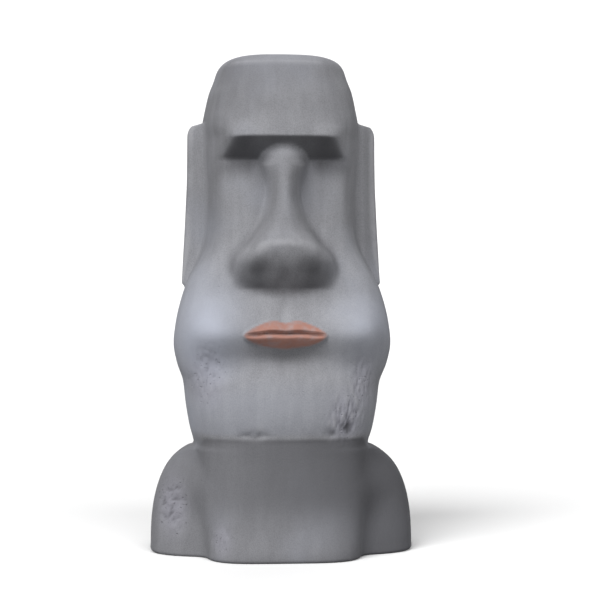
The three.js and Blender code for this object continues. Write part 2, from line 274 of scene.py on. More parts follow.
# Rings: from, to, and how densely, in shares of the height
BANDS = [
    (0.008, 0.045, 1.1), (0.045, 0.155, 1.7), (0.155, 0.18, 1.2), (0.18, 0.209, 2), (0.209, 0.247, 2.6),
    (0.247, 0.342, 1.1), (0.342, 0.4, 1.4), (0.4, 0.475, 2.2), (0.475, 0.53, 1.3), (0.53, 0.643, 1.8),
    (0.643, 0.768, 0.8), (0.768, 0.785, 2.4), (0.785, 0.818, 1.8), (0.818, 0.834, 4), (0.834, 0.852, 1.2),
    (0.852, 0.875, 2.4), (0.875, 0.955, 0.8),
]
UNDERSIDE_RINGS = [0.3, 0.6, 0.9, 0.965]  # shares of the foot's outline
FOOT_RINGS = 5
CROWN_RINGS, CROWN_INNER_RINGS = 14, 6
CROWN_REACH = math.radians(70)  # how far round a quarter turn the crown's outer rings go
CROWN_CURL = 4  # 2 is a round dome, more is flatter on top


class Carving:
    """The statue's surface for one height, width and depth."""

    def __init__(self, height, width, depth):
        self.height, self.width, self.depth = height, width, depth

    def head_front(self, share):
        """Where the head's front stands at each height, without nose and lips.

        The forehead comes down to the brow's edge and the brow's underside slopes back to the face. The
        parts meet with small roundings.
        """
        h, d = self.height, self.depth
        under_brow = BROW_EDGE * d - (BROW - share) * h * BROW_SLOPE
        brow = soft_min(FOREHEAD_FRONT(share) * d, under_brow, BROW_ROUNDING * h)
        return soft_max(brow, FACE_FRONT(share) * d, SOCKET_ROUNDING * h)

    def block_walls(self, share, front, half, turn, sharpness):
        """The upright planes round the head or the chest: the way each faces (x, y), and how far off it is.

        The sides turn in towards the face and again towards the back. They stand out so far that the outline,
        rounded by a power mean of the shares of the way to each plane, keeps its half width beside the axis.
        """
        back_cos, back_sin = math.cos(BACK_TURN), math.sin(BACK_TURN)
        back_away = BACK_HALF(share) * self.width * back_cos + BACK_CORNER * self.depth * back_sin
        beside = ((1 / half) ** sharpness + (back_cos / back_away) ** sharpness) ** (1 / sharpness)
        spread = half * beside
        walls = [(0, -1, front), (0, 1, HEAD_BACK(share) * self.depth)]
        for side in (-1, 1):
            walls.append((side * np.cos(turn), -np.sin(turn), half * np.cos(turn) * spread))
            walls.append((side * back_cos, back_sin, back_away * spread))
        return walls

    @staticmethod
    def box_walls(half, front, back):
        """The four upright planes of a plain box."""
        return [(0, -1, front), (0, 1, back), (-1, 0, half), (1, 0, half)]

    @staticmethod
    def outside(walls, x, y, sharpness):
        """How far (x, y) lies outside a ring of walls, negative inside.

        Each wall gives the share of the way to it; their power mean is 1 on an outline with rounded corners.
        """
        total = sum(np.maximum((nx * x + ny * y) / away, 0) ** sharpness for nx, ny, away in walls)
        return np.hypot(x, y) * (1 - 1 / np.maximum(total ** (1 / sharpness), 1e-3))

    def outline(self, share):
        """A function of (x, y), negative inside the statue at each height.

        Above the chin's edge it is the head. Below, it is the chest joined softly with the arms, whose tops
        roll in to the neck.
        """
        w, d = self.width, self.depth
        sharpness, turn = HEAD_SHARPNESS(share), np.radians(SIDE_TURN(share))
        head = self.block_walls(share, self.head_front(share), HEAD_HALF(share) * w, turn, sharpness)
        turn = turn * ramp(CHEST_TURN_FROM, CHIN_EDGE, share)
        chest = self.block_walls(share, CHEST_FRONT(share) * d, CHEST_HALF(share) * w, turn, sharpness)
        arm_top = roll((share - ARM_FOOT) / (NECK - ARM_FOOT), ARM_CURL)
        arms = self.box_walls(
            mix(*ARM_HALF, arm_top) * w,
            (mix(*ARM_FRONT, arm_top) + FRONT_SPREAD * ramp(0.15, 0, share)) * d,
            (mix(*ARM_BACK, arm_top) + BACK_SPREAD * ramp(0.1, 0.01, share)) * d,
        )
        below = ramp(CHIN_EDGE - 0.002, CHIN_EDGE - 0.014, share)
        joining = mix(*VALLEY_ROUNDING, bell(share - VALLEY, VALLEY_REACH)) * d

        def gap(x, y):
            arm_gap = self.outside(arms, x, y, ARM_SHARPNESS)
            body = soft_min(self.outside(chest, x, y, sharpness), arm_gap, joining)
            return mix(self.outside(head, x, y, sharpness), body, below)

        return gap

    def relief(self, bells, x, share):
        """Swells and hollows summed: for each a bell across, times a bell upwards, times its rise."""
        out = np.abs(x) / self.width
        total = 0
        for middle, reach, height, tall, rise in bells:
            total = total + rise * bell(out - middle, reach) * bell(share - height, tall)
        return self.depth * total

    def nose(self, x, share, face):
        """The nose's front: a ridge that falls off to both sides as a power of the share of its half width.

        The nostrils, the notch between them and the furrows above the wings are bell-shaped hollows.
        """
        ridge = NOSE_RIDGE(share) * self.depth
        outward = np.minimum(np.abs(x) / (NOSE_HALF(share) * self.width), 4)
        drop = np.maximum(ridge - face, 0) + NOSE_INSET * self.depth
        return ridge - drop * outward ** NOSE_FLATNESS(share) + self.relief(NOSE_RELIEF, x, share)

    def lips(self, x, share):
        """How far the lips stand out, and where they are from 0 to 1.

        Two rolls with a rounded section meet in a nearly level line and thin out to the mouth's corners.
        """
        out = np.abs(x) / self.width
        outward = np.clip(out / MOUTH_HALF, 0, 1)
        fullness = (1 - outward**2.2) ** 0.75
        line = MOUTH + 0.002 * bell(out - 0.05, 0.035) - 0.003 * outward**2
        upper = LIP_EDGE + UPPER_LIP * fullness - 0.005 * bell(out, 0.024)
        lower = LIP_EDGE + LOWER_LIP * fullness
        t = np.clip(np.where(share > line, (share - line) / upper, (line - share) / lower), 0, 1)
        body = (1 - t * t) ** 0.85 * fullness**0.6
        parting = 0.55 * bell(share - line, 0.004) * fullness**0.5
        return LIP_DEPTH * self.depth * (body - parting), ramp(0.02, 0.3, (1 - t * t) * fullness)

    def ear(self, half, y, share):
        """How far the ear stands out from the side of the head.

        It is a long slab with a sunk channel down its middle and a rounded corner at its top.
        """
        w, back = self.width, y / self.depth
        from_middle = np.abs(back - (EAR_FRONT + EAR_BACK) / 2)
        long = band(share, EAR_BOTTOM - 0.012, EAR_BOTTOM, EAR_TOP - 0.005, EAR_TOP + 0.005)
        front_slope = (EAR_FRONT - EAR_EDGE, EAR_FRONT + EAR_EDGE)
        back_slope = (EAR_BACK - EAR_EDGE, EAR_BACK + EAR_EDGE)
        wide = band(back, *front_slope, *back_slope)
        channel = (1 - ramp(*CHANNEL_HALF, from_middle)) * band(share, *CHANNEL_BOTTOM, *CHANNEL_TOP)
        corner = EAR_CORNER_IN * w * (1 - roll((share - EAR_TOP + EAR_CORNER) / EAR_CORNER, 2))
        slab = np.maximum(EAR_HALF(share) * w - half - corner, 0) * wide
        return (slab - CHANNEL_DEPTH * w * channel) * long

    def rays(self):
        """Starts and directions of the rays round the core, from the middle of the face round and back to it.

        They are parallel along the core's flats, so the nose, mouth and ears keep to their own columns, and
        fan out at its corners.
        """
        front, corner, side, back_corner, back = COLUMNS
        half, fore, aft = CORE_HALF * self.width, CORE_FRONT * self.depth, CORE_BACK * self.depth
        ear = [EAR_FRONT - DENSE, EAR_FRONT + DENSE, EAR_BACK - DENSE, EAR_BACK + DENSE]
        stops = [-CORE_FRONT, *ear, CORE_BACK]
        counts = [max(1, round(side * share)) for share in SIDE_SHARES]
        level = [np.linspace(a, b, n + 1)[1:] for a, b, n in zip(stops, stops[1:], counts)]
        ys = np.concatenate(level) * self.depth
        turn_front = np.linspace(0, np.pi / 2, corner + 1)[1:]
        turn_back = np.linspace(0, np.pi / 2, back_corner + 1)[1:]
        parts = [
            (np.linspace(0, half, front + 1), -fore, 0, -1),
            (half, -fore, np.sin(turn_front), -np.cos(turn_front)),
            (half, ys, 1, 0),
            (half, aft, np.cos(turn_back), np.sin(turn_back)),
            (np.linspace(half, 0, back + 1)[1:], aft, 0, 1),
        ]
        columns = [np.stack(np.broadcast_arrays(*map(np.atleast_1d, part)), -1) for part in parts]
        one_side = np.concatenate(columns).astype(float)
        other_side = one_side[1:-1][::-1] * [-1, 1, -1, 1]
        return np.concatenate([one_side, other_side]).T

    def ring_points(self, rays, share):
        """Points (height, ray, xyz) of the carved wall, and the lips' mask.

        Each ray is followed to the outline by halving the stretch that the outline must lie in. The ring is
        then widened to the head's half width, the nose is joined on with a soft maximum, and lips, cheeks and
        ears are added along their own directions.
        """
        ox, oy, ux, uy = [value[None, :] for value in rays]
        share = share[:, None]
        gap = self.outline(share)
        near = np.zeros((share.shape[0], ox.shape[1]))
        far = np.full(near.shape, RAY_REACH * self.width)
        for _ in range(HALVINGS):
            middle = (near + far) / 2
            inside = gap(ox + ux * middle, oy + uy * middle) < 0
            near, far = np.where(inside, middle, near), np.where(inside, far, middle)
        x, y = ox + ux * near, oy + uy * near
        widen = HEAD_HALF(share) * self.width / x.max(1, keepdims=True)
        x = x * mix(1, widen, ramp(NECK - 0.001, NECK + 0.009, share))
        facing = ramp(0.25, 0.7, -uy) * ramp(CHIN_EDGE - 0.01, CHIN_EDGE + 0.005, share)
        lips, tint = self.lips(x, share)
        face = -y + (lips + self.relief(FACE_RELIEF, x, share)) * facing
        nose = self.nose(x, share, self.head_front(share))
        gate = facing * band(share, NOSE_FROM, NOSE_FROM + 0.02, NOSE_TO - 0.01, NOSE_TO)
        y = -mix(face, soft_max(face, nose, NOSE_JOINING * self.depth), gate)
        x = x + np.sign(ux) * self.ear(np.abs(x), y, share) * (np.abs(ux) > 0.3)
        return np.stack([x, y, share * self.height + 0 * x], -1), tint * facing

    def grid(self, rings_per_height, foot_rounding):
        """All rings from the middle of the underside to near the crown's top, and the lips' mask on them.

        The foot is rounded by shrinking the first ring along a quarter circle. The crown's rings go on up
        from the wall and shrink along a rounded box.
        """
        rays = self.rays()
        shares = np.concatenate([
            np.linspace(a, b, max(1, round((b - a) * rings_per_height * dense)), endpoint=False)
            for a, b, dense in BANDS
        ] + [[CROWN]])
        wall, tint = self.ring_points(rays, shares)
        angles = np.linspace(0, np.pi / 2, FOOT_RINGS + 1)[:-1]
        shrink = 1 - foot_rounding * (1 - np.sin(angles)) / (self.width / 2)
        shrink = np.concatenate([UNDERSIDE_RINGS, shrink])
        lift = shares[0] * self.height * (1 - np.cos(angles))
        lift = np.concatenate([np.zeros(len(UNDERSIDE_RINGS)), lift])
        foot = wall[:1] * np.stack([shrink, shrink, 0 * shrink], -1)[:, None, :]
        foot[..., 2] = lift[:, None]
        over = np.cos(np.linspace(0, CROWN_REACH, CROWN_RINGS + 1)[1:]) ** (2 / CROWN_CURL)
        inward = np.concatenate([over, np.linspace(over[-1], 0, CROWN_INNER_RINGS + 2)[1:-1]])
        rise = mix(CROWN, 1, roll(inward, CROWN_CURL))
        crown, crown_tint = self.ring_points(rays, rise)
        crown[..., :2] *= inward[:, None, None]
        points = np.concatenate([foot, wall, crown])
        masks = np.concatenate([np.zeros(foot.shape[:2]), tint, 0 * crown_tint])
        return points, masks


# Wear on the surface, worked out over whole arrays


def normals_of(points):
    """Outward normals of a grid of rings: the cross product of the steps round and up."""
    round_step = np.roll(points, -1, 1) - np.roll(points, 1, 1)
    up_step = np.gradient(points, axis=0)
    normal = np.cross(round_step, up_step)
    return normal / np.maximum(np.linalg.norm(normal, axis=-1, keepdims=True), 1e-12)


def hashed(cells, salt):
    """A repeatable number from 0 to 1 for each whole-numbered cell (x, y, z)."""
    mixed = cells[..., 0] * 73856093 ^ cells[..., 1] * 19349663 ^ cells[..., 2] * 83492791 ^ salt * 2654435761
    mixed = (mixed ^ (mixed >> 13)) * 1274126177 & 0xFFFFFFFF
    return ((mixed ^ (mixed >> 16)) & 0xFFFFFF) / 0xFFFFFF


def lumps(points, size, salt):
    """Smooth uneven heights from 0 to 1.

    Every corner of a lattice of cells of the given size has a hashed height, and a point's height is blended
    between the eight corners of its cell by smooth steps along x, y and z.
    """
    scaled = points / np.asarray(size)
    home = np.floor(scaled).astype(np.int64)
    part = scaled - home
    part = part * part * (3 - 2 * part)
    total = np.zeros(points.shape[:-1])
    for corner in np.ndindex(2, 2, 2):
        share = np.prod(np.where(np.array(corner) == 1, part, 1 - part), axis=-1)
        total += share * hashed(home + np.array(corner), salt)
    return total


def creases(points, size, salt):
    """Crumpled lines: 1 along the lines where lumps pass their middle height, falling to 0 away from them."""
    return 1 - np.clip(np.abs(lumps(points, size, salt) - 0.5) * 5, 0, 1)


def pits(points, size, salt):
    """Round pits scattered one to a cell: 1 at a pit's middle and 0 at its rim and between pits.

    Each cell of the given size holds one pit, at a hashed place and with a hashed radius of 0.2 to 0.5 cells.
    A point's depth is the deepest pit among its own and the 26 cells around it.
    """
    scaled = points / size
    home = np.floor(scaled).astype(np.int64)
    deepest = np.zeros(points.shape[:-1])
    for step in np.ndindex(3, 3, 3):
        cell = home + (np.array(step) - 1)
        middle = cell + np.stack([hashed(cell, salt + k) for k in (1, 2, 3)], -1)
        radius = 0.2 + 0.3 * hashed(cell, salt + 4) ** 2
        near = 1 - (np.linalg.norm(scaled - middle, axis=-1) / radius) ** 2
        deepest = np.maximum(deepest, np.clip(near, 0, 1))
    return deepest


def oval(points, middle, reach):
    """A soft oval on the front: 1 in its middle (x, z), dying away past its reach (x, z), in millimetres."""
    x, z = points[..., 0] / MM, points[..., 2] / MM
    away = ((x - middle[0]) / reach[0]) ** 2 + ((z - middle[1]) / reach[1]) ** 2
    return np.exp(-(away**1.5)) * ramp(12 * MM, -2 * MM, points[..., 1])


# Rough places on the front: middle (x, z) and reach (x, z) in millimetres, and strength
ROUGH = [
    ((-66, 30), (9, 17), 1.0),
    ((-37, 13), (6, 9), 0.75),
    ((36, 84), (10, 14), 0.9),
    ((46, 102), (7, 16), 0.7),
    ((-46, 106), (11, 17), 0.7),
]
# Chips out of the chin's lower edge: middle and reach as above, and depth in millimetres
CHIPS = [
    ((-18, 72), (8, 2.6), 1.0),
    ((27, 73), (4, 3.5), 0.9),
    ((38, 75), (3, 4), 0.8),
]
# Cell sizes of the pits, the creases, the lumps and the chips' lumps, in millimetres
PIT_CELL = 3.6
CREASE_CELL = np.array([2.6, 2.6, 5.2])
SMALL_CREASES = 0.55  # their size, a share of the large ones'
LUMP_CELL = 5
CHIP_CELL = 2.2
# Cell sizes of the casting's slow and quicker unevenness, in millimetres
SLOW_CELL, QUICK_CELL = 45, 18


def wear(points, pit_depth):
    """How far the stone is sunk by rough casting and chips, in metres, and the mask of the rough places.

    In the rough places round pits, upright creases of two sizes and lumps are summed. Each chip is a soft
    oval, made uneven by lumps of its own.
    """
    rough = np.zeros(points.shape[:-1])
    for middle, reach, strength in ROUGH:
        rough = np.maximum(rough, strength * oval(points, middle, reach))
    upright = CREASE_CELL * MM
    crumple = 0.6 * creases(points, upright, 21) + 0.4 * creases(points, upright * SMALL_CREASES, 22)
    uneven = 0.45 * pits(points, PIT_CELL * MM, 11) + 0.9 * crumple + 0.5 * lumps(points, LUMP_CELL * MM, 23)
    chips = sum(depth * MM * oval(points, middle, reach) for middle, reach, depth in CHIPS)
    chips = chips * (0.6 + 0.8 * lumps(points, CHIP_CELL * MM, 24))
    return pit_depth * rough * uneven + chips, rough


def standing_out(points, normal, step):
    """How far each point stands out from the middle of its neighbours a few steps away, in metres."""
    around = (np.roll(points, step, 1) + np.roll(points, -step, 1)) / 2
    padded = np.pad(points, ((step, step), (0, 0), (0, 0)), mode="edge")
    above = (padded[2 * step:] + padded[:-2 * step]) / 2
    return ((points - around) * normal).sum(-1) + ((points - above) * normal).sum(-1)


def closed_mesh(name, points, attributes):
    """A mesh from a grid of rings, closed by a fan to a middle point at the bottom and the top.

    attributes holds one value for each grid point, by name; the two middle points take their ring's mean.
    """
    rows, around, _ = points.shape
    low, high = points[0].mean(0), points[-1].mean(0)
    low[:2], high[:2] = 0, 0
    vertices = np.concatenate([points.reshape(-1, 3), [low], [high]])
    i = np.arange(around)
    j = np.arange(rows - 1)[:, None] * around
    following = (i + 1) % around
    quads = np.stack([j + i, j + following, j + around + following, j + around + i], -1).reshape(-1, 4)
    last, bottom, top = (rows - 1) * around, rows * around, rows * around + 1
    caps = np.concatenate([
        np.stack([np.full(around, bottom), following, i], -1),
        np.stack([np.full(around, top), last + i, last + following], -1),
    ])
    mesh = bpy.data.meshes.new(name)
    mesh.from_pydata(vertices.tolist(), [], quads.tolist() + caps.tolist())
    mesh.polygons.foreach_set("use_smooth", [True] * len(mesh.polygons))
    for key, values in attributes.items():
        flat = np.concatenate([values.ravel(), [values[0].mean(), values[-1].mean()]]).astype(np.float32)
        mesh.attributes.new(key, "FLOAT", "POINT").data.foreach_set("value", flat)
    mesh.validate()
    mesh.update()
    return mesh


# Node helpers

NODE_STEP = (190, 170)  # from one node to the next in the editor, to the right and up


def add_node(tree, kind, place, **values):
    """A node with its own settings, at a place counted in steps to the right and up."""
    node = tree.nodes.new(kind)
    node.location = (place[0] * NODE_STEP[0], place[1] * NODE_STEP[1])
    for key, value in values.items():
        setattr(node, key, value)
    return node


def wire(tree, source, target):
    """Joins two sockets, or sets the target's value where the source is a plain value."""
    if isinstance(source, bpy.types.NodeSocket):
        tree.links.new(source, target)
    else:
        target.default_value = source


def maths(tree, operation, place, *inputs, clamp=False):
    """A Math node on sockets or numbers, and its output."""
    node = add_node(tree, "ShaderNodeMath", place, operation=operation, use_clamp=clamp)
    for socket, value in zip(node.inputs, inputs):
        wire(tree, value, socket)
    return node.outputs[0]


def remap(tree, place, value, low, high, to_low=0.0, to_high=1.0):
    """A smooth step of a value from one range to another, and its output."""
    node = add_node(tree, "ShaderNodeMapRange", place, interpolation_type="SMOOTHSTEP")
    for socket, item in zip(node.inputs, (value, low, high, to_low, to_high)):
        wire(tree, item, socket)
    return node.outputs[0]


def blend_colours(tree, place, share, first, second):
    """A colour mix of two sockets or colours by a share, and its output.

    The node has sockets for every kind of value; those for colours are inputs 6 and 7 and output 2.
    """
    node = add_node(tree, "ShaderNodeMix", place, data_type="RGBA")
    for index, item in ((0, share), (6, first), (7, second)):
        wire(tree, item, node.inputs[index])
    return node.outputs[2]


def noise(tree, place, vector, scale, detail=4.0, rough=0.55):
    """A noise of a scale in features for each metre, and its output from 0 to 1."""
    node = add_node(tree, "ShaderNodeTexNoise", place)
    wire(tree, vector, node.inputs["Vector"])
    wire(tree, scale, node.inputs["Scale"])
    node.inputs["Detail"].default_value = detail
    node.inputs["Roughness"].default_value = rough
    return node.outputs["Fac"]


def bump(tree, place, height, strength, distance):
    """A Bump node over a height, where a height of 1 is a distance in metres."""
    node = add_node(tree, "ShaderNodeBump", place)
    node.inputs["Strength"].default_value = strength
    node.inputs["Distance"].default_value = distance
    wire(tree, height, node.inputs["Height"])
    return node


def new_group(name, inputs, outputs):
    """An empty shader node group with named sockets, given as (name, kind, default)."""
    group = bpy.data.node_groups.new(name, "ShaderNodeTree")
    for label, kind, default in inputs:
        socket = group.interface.new_socket(name=label, in_out="INPUT", socket_type="NodeSocket" + kind)
        if default is not None:
            socket.default_value = default
    for label, kind in outputs:
        group.interface.new_socket(name=label, in_out="OUTPUT", socket_type="NodeSocket" + kind)
    source = add_node(group, "NodeGroupInput", (-5, 0))
    sink = add_node(group, "NodeGroupOutput", (5, 0))
    return group, source.outputs, sink.inputs


def place_group(tree, name, place, **inputs):
    """A node group set into a tree with its own values, and its outputs."""
    node = add_node(tree, "ShaderNodeGroup", place)
    node.node_tree = bpy.data.node_groups[name]
    for label, value in inputs.items():
        wire(tree, value, node.inputs[label.replace("_", " ")])
    return node.outputs


def build_grain_group():
    """Sandy grain: a height of fine and coarse noise, a slow mottle, and specks of dark and pale sand."""
    group, given, made = new_group(
        "cast_grain",
        [("Vector", "Vector", None), ("Scale", "Float", 900.0), ("Mottle Scale", "Float", 28.0)],
        [("Height", "Float"), ("Mottle", "Float"), ("Specks", "Float")],
    )
    where, scale = given["Vector"], given["Scale"]
    fine = noise(group, (-3, 1), where, scale, 3.0, 0.6)
    coarse = noise(group, (-3, 0), where, maths(group, "MULTIPLY", (-4, 0), scale, 0.27), 4.0)
    slow = noise(group, (-3, -1), where, given["Mottle Scale"], 5.0, 0.6)
    height = maths(group, "MULTIPLY_ADD", (-1, 1), coarse, 1.4, fine)
    wire(group, height, made["Height"])
    wire(group, remap(group, (-1, -1), slow, 0.32, 0.68), made["Mottle"])
    specks = noise(group, (-3, -2), where, maths(group, "MULTIPLY", (-4, -2), scale, 1.9), 1.0)
    wire(group, remap(group, (-1, -2), specks, 0.3, 0.72, -1.0, 1.0), made["Specks"])


def build_pore_group():
    """Air pores, as a mask and a depth: one round hole to a cell, bent a little by noise.

    A cell keeps its hole where the amount is above the cell's own random number.
    """
    group, given, made = new_group(
        "air_pores",
        [
            ("Vector", "Vector", None),
            ("Scale", "Float", 420.0),
            ("Amount", "Float", 0.0),
            ("Width", "Float", 0.3),
        ],
        [("Mask", "Float"), ("Depth", "Float")],
    )
    bent = add_node(group, "ShaderNodeVectorMath", (-3, 1), operation="MULTIPLY_ADD")
    wobble = add_node(group, "ShaderNodeTexNoise", (-4, 1))
    wire(group, given["Vector"], wobble.inputs["Vector"])
    wobble.inputs["Scale"].default_value = 500.0
    wire(group, wobble.outputs["Color"], bent.inputs[0])
    bent.inputs[1].default_value = (0.0016, 0.0016, 0.0016)
    wire(group, given["Vector"], bent.inputs[2])
    cells = add_node(group, "ShaderNodeTexVoronoi", (-2, 1))
    wire(group, bent.outputs[0], cells.inputs["Vector"])
    wire(group, given["Scale"], cells.inputs["Scale"])
    chance = add_node(group, "ShaderNodeSeparateColor", (-1, 0))
    wire(group, cells.outputs["Color"], chance.inputs[0])
    spare = maths(group, "SUBTRACT", (-1, -1), given["Amount"], chance.outputs[0])
    kept = remap(group, (0, 0), spare, -0.05, 0.1)
    bowl = remap(group, (0, 1), cells.outputs["Distance"], given["Width"], 0.0)
    mask = maths(group, "MULTIPLY", (2, 0), bowl, kept)
    wire(group, mask, made["Mask"])
    wire(group, maths(group, "MULTIPLY", (3, -1), mask, -1.0), made["Depth"])


def opaque(tone, gain=1.0):
    """A colour with full alpha, lighter or darker by a gain."""
    return tuple(part * gain for part in tone) + (1.0,)


def new_material(name, roughness):
    """An empty material with a Principled shader, its tree and the shader."""
    material = bpy.data.materials.new(name)
    material.use_nodes = True
    tree = material.node_tree
    shader = tree.nodes["Principled BSDF"]
    shader.location = (1500, 0)
    tree.nodes["Material Output"].location = (1800, 0)
    shader.inputs["Roughness"].default_value = roughness
    return material, tree, shader


def attribute(tree, place, name):
    """A mesh attribute's value, and its output."""
    return add_node(tree, "ShaderNodeAttribute", place, attribute_name=name).outputs["Fac"]


def build_cast_stone(finish):
    """Matte grey cast stone, mottled and sandy, with painted shade under its overhangs and over its body.

    Rough places are porous and paler, the cheeks carry a faint bluish tint with a painted highlight,
    and the lips a worn salmon tint.
    """
    material, tree, shader = new_material("cast_stone", 0.9)
    where = add_node(tree, "ShaderNodeTexCoord", (-6, 0)).outputs["Object"]
    grain = place_group(tree, "cast_grain", (-4, 2), Vector=where, Scale=900.0, Mottle_Scale=24.0)
    mottle, specks = grain["Mottle"], grain["Specks"]
    masks = {
        name: attribute(tree, (-6, -2 - row), name)
        for row, name in enumerate(("rough", "sunk", "painted_shade", "deep", "edge", "tint_and_highlight", "lips"))
    }
    amount = maths(tree, "MULTIPLY_ADD", (-5, -1), masks["rough"], 0.4, 0.008)
    pores = place_group(tree, "air_pores", (-4, 0), Vector=where, Scale=560.0, Amount=amount, Width=0.34)
    small = place_group(tree, "air_pores", (-4, -1), Vector=where, Scale=1100.0, Amount=amount, Width=0.36)

    dark, pale, deep = opaque(finish.shade_specks_and_pits), opaque(finish.worn), opaque(finish.deep)
    colour = blend_colours(tree, (-2, 2), mottle, opaque(finish.stone, 0.9), opaque(finish.stone, 1.05))
    # Faint upright streaks of darker stone, in the tone of the painted shade.
    upright = add_node(tree, "ShaderNodeMapping", (-5, 4))
    upright.inputs["Scale"].default_value = (1, 1, 0.12)
    wire(tree, where, upright.inputs["Vector"])
    streaks = noise(tree, (-4, 4), upright.outputs[0], 150.0, 3.0, 0.5)
    streaks = remap(tree, (-3, 5), streaks, 0.35, 0.65, 0.0, 0.16)
    colour = blend_colours(tree, (-2, 3), streaks, colour, deep)
    pale_sand = remap(tree, (-3, 3), specks, 0.2, 0.9, 0.0, 0.12)
    colour = blend_colours(tree, (-1, 2), pale_sand, colour, pale)
    dark_sand = remap(tree, (-3, 4), specks, -0.2, -0.9, 0.0, 0.16)
    colour = blend_colours(tree, (0, 2), dark_sand, colour, dark)

    # Faint bluish patches at random, and the bluish tint with a painted highlight on the cheeks and chin.
    film = noise(tree, (-1, 4), where, 16.0, 3.0, 0.5)
    film = remap(tree, (-1, 5), film, 0.45, 0.72, 0.0, 0.35)
    film = maths(tree, "ADD", (1, 4), masks["tint_and_highlight"], film, clamp=True)
    film = maths(tree, "MULTIPLY", (1, 3), film, 0.85)
    colour = blend_colours(tree, (1, 2), film, colour, opaque(finish.tint_and_highlight))
    porous = maths(tree, "MULTIPLY", (1, 1), masks["rough"], 0.5)
    colour = blend_colours(tree, (2, 2), porous, colour, opaque(finish.rough))
    # Painted shade on the body, the flanks and beside the nose, and a darker crown.
    colour = blend_colours(tree, (3, 2), masks["deep"], colour, deep)
    rubbed = remap(tree, (-1, 0), mottle, 0.2, 0.8, 0.05, 0.4)
    rubbed = maths(tree, "MULTIPLY", (0, 0), masks["edge"], rubbed)
    colour = blend_colours(tree, (4, 2), rubbed, colour, pale)
    # Painted shade under the overhangs, just below the brow and round the nose.
    colour = blend_colours(tree, (5, 2), masks["painted_shade"], colour, dark)

    unworn = noise(tree, (-2, -3), where, 170.0, 4.0, 0.6)
    unworn = remap(tree, (-1, -3), unworn, 0.3, 0.6, 0.6, 1.0)
    tint = maths(tree, "MULTIPLY", (0, -3), masks["lips"], unworn)
    lip_tone = blend_colours(tree, (1, -3), mottle, opaque(finish.lips, 0.8), opaque(finish.lips, 1.1))
    colour = blend_colours(tree, (6, 2), tint, colour, lip_tone)
    holes = maths(tree, "MULTIPLY", (1, -1), small["Mask"], 0.7)
    holes = maths(tree, "MAXIMUM", (2, -1), pores["Mask"], holes)
    holes = maths(tree, "MULTIPLY", (3, -1), holes, 0.2)
    holes = maths(tree, "MAXIMUM", (4, -1), holes, masks["sunk"])
    colour = blend_colours(tree, (7, 2), holes, colour, dark)
    wire(tree, colour, shader.inputs["Base Color"])

    rough = maths(tree, "MULTIPLY_ADD", (5, 0), mottle, 0.1, 0.82)
    rough = maths(tree, "MULTIPLY_ADD", (6, 0), tint, -0.2, rough)
    wire(tree, rough, shader.inputs["Roughness"])
    shader.inputs["Specular IOR Level"].default_value = 0.35

    ground = bump(tree, (5, -3), grain["Height"], strength=0.25, distance=0.0004)
    depth = maths(tree, "MULTIPLY", (3, -4), small["Depth"], 0.5)
    depth = maths(tree, "ADD", (4, -4), pores["Depth"], depth)
    sunken = bump(tree, (6, -3), depth, strength=0.7, distance=0.0009)
    wire(tree, ground.outputs[0], sunken.inputs["Normal"])
    wire(tree, sunken.outputs[0], shader.inputs["Normal"])
    return material


def build_stage_paint(tone, glow):
    """Pale matte paint with the faintest grain. It throws only a part of its light back on the statue."""
    material, tree, shader = new_material("stage_paint", 0.9)
    where = add_node(tree, "ShaderNodeTexCoord", (-4, 0)).outputs["Object"]
    grain = place_group(tree, "cast_grain", (-2, 0), Vector=where, Scale=160.0, Mottle_Scale=2.0)
    seen = add_node(tree, "ShaderNodeLightPath", (-2, 3)).outputs["Is Camera Ray"]
    paint = (tone, tone, tone)
    colour = blend_colours(tree, (0, 1), grain["Mottle"], opaque(paint), opaque(paint, 0.99))
    colour = blend_colours(tree, (1, 1), seen, opaque(paint, glow), colour)
    wire(tree, colour, shader.inputs["Base Color"])
    shader.inputs["Specular IOR Level"].default_value = 0.1
    return material


# What a user may change


class StatueSizes(bpy.types.PropertyGroup):
    """Sizes of the statue's surface."""

    height: bpy.props.FloatProperty(
        name="Height", description="From the floor to the crown", default=HIGH.z - LOW.z, unit="LENGTH"
    )
    width: bpy.props.FloatProperty(
        name="Width", description="Across the shoulders", default=HIGH.x - LOW.x, unit="LENGTH"
    )
    depth: bpy.props.FloatProperty(
        name="Depth", description="From the front of the foot to the back",
        default=HIGH.y - LOW.y, unit="LENGTH",
    )
    foot_rounding: bpy.props.FloatProperty(
        name="Foot rounding", description="How far the edge of the foot is rounded",
        default=0.0025, unit="LENGTH",
    )
    unevenness: bpy.props.FloatProperty(
        name="Unevenness", description="How far the casting's faces wander inwards",
        default=0.0006, unit="LENGTH",
    )
    pit_depth: bpy.props.FloatProperty(
        name="Pit depth", description="Depth of the pits in the rough places", default=0.0016, unit="LENGTH"
    )
    rings_per_height: bpy.props.IntProperty(
        name="Rings", description="Rings of points in the height, before the dense bands", default=134, min=40
    )


